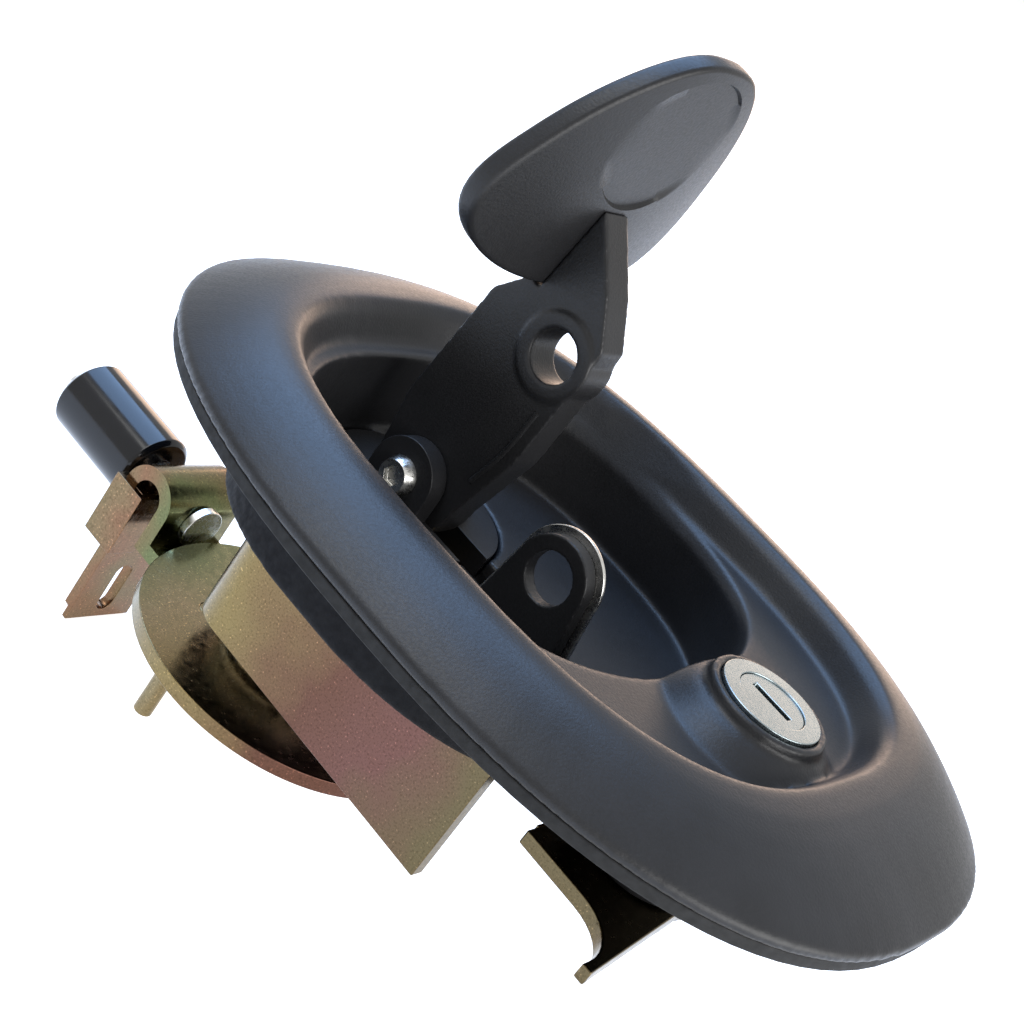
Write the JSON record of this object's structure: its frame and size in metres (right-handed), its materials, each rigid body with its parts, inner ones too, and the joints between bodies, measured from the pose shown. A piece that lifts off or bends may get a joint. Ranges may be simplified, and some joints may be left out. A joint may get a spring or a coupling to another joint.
{
  "type": "whale tail lock",
  "caption": "Oval recessed toolbox lock with a fold-out whale tail T handle, a turning spindle and a rear roller latch arm, key lock and padlock lug.",
  "frame": {"origin": "centre of the dish on the panel face, at the underside of the rim gasket", "axes": "+Z out of the front of the panel, +X along the dish towards the key lock, +Y across the dish"},
  "size_m": [0.1659, 0.108, 0.1404],
  "materials": {
    "black_casting": "matte black powder coat",
    "gasket_rubber": "matt black rubber",
    "plated_sheet": "yellow passivated zinc plate",
    "bright_steel": "bright zinc",
    "lock_face": "satin silver",
    "bush_brass": "plain",
    "roller_black": "glossy black"
  },
  "bodies": {
    "dish": {"dish_body": "black_casting", "rim_gasket": "gasket_rubber", "padlock_lug": "black_casting", "lug_wear_plate": "bright_steel", "lock_barrel": "lock_face", "lock_nut": "bright_steel", "spindle_bush": "bush_brass", "clamp_strap": "plated_sheet", "strap_screws": "bright_steel", "clamp_foot": "plated_sheet"},
    "spindle": {"spindle": "black_casting", "pivot_screw": "bright_steel", "pivot_nut": "bright_steel", "thrust_washer": "bright_steel", "spring_washers": "bright_steel", "cam_plate": "plated_sheet", "stop_pin": "plated_sheet", "latch_arm": "plated_sheet", "arm_washer": "bright_steel", "arm_screw": "bright_steel", "roller_pin": "bright_steel", "roller_clip": "bright_steel", "link_plate": "plated_sheet", "link_clip": "plated_sheet"},
    "handle": {"handle_stem": "black_casting", "whale_tail": "black_casting", "tail_screws": "bright_steel"},
    "roller": {"roller": "roller_black"},
    "lock_plug": {"lock_plug": "lock_face", "lock_cam": "plated_sheet", "cam_screw": "bright_steel"}
  },
  "joints": [
    {"name": "spindle_turn", "type": "hinge", "parent": "dish", "child": "spindle", "pos_m": [-0.0302, 0, 0], "axis": [0, 0, 1], "range_deg": [0, 90]},
    {"name": "handle_fold", "type": "hinge", "parent": "spindle", "child": "handle", "pos_m": [-0.0302, 0, -0.0057], "axis": [0, -1, 0], "range_deg": [-46, 8]},
    {"name": "roller_spin", "type": "hinge", "parent": "spindle", "child": "roller", "pos_m": [-0.08, 0, -0.04335], "axis": [1, 0, 0], "continuous": true},
    {"name": "plug_turn", "type": "hinge", "parent": "dish", "child": "lock_plug", "pos_m": [0.0332, 0, 0], "axis": [0, 0, 1], "range_deg": [0, 90]}
  ]
}
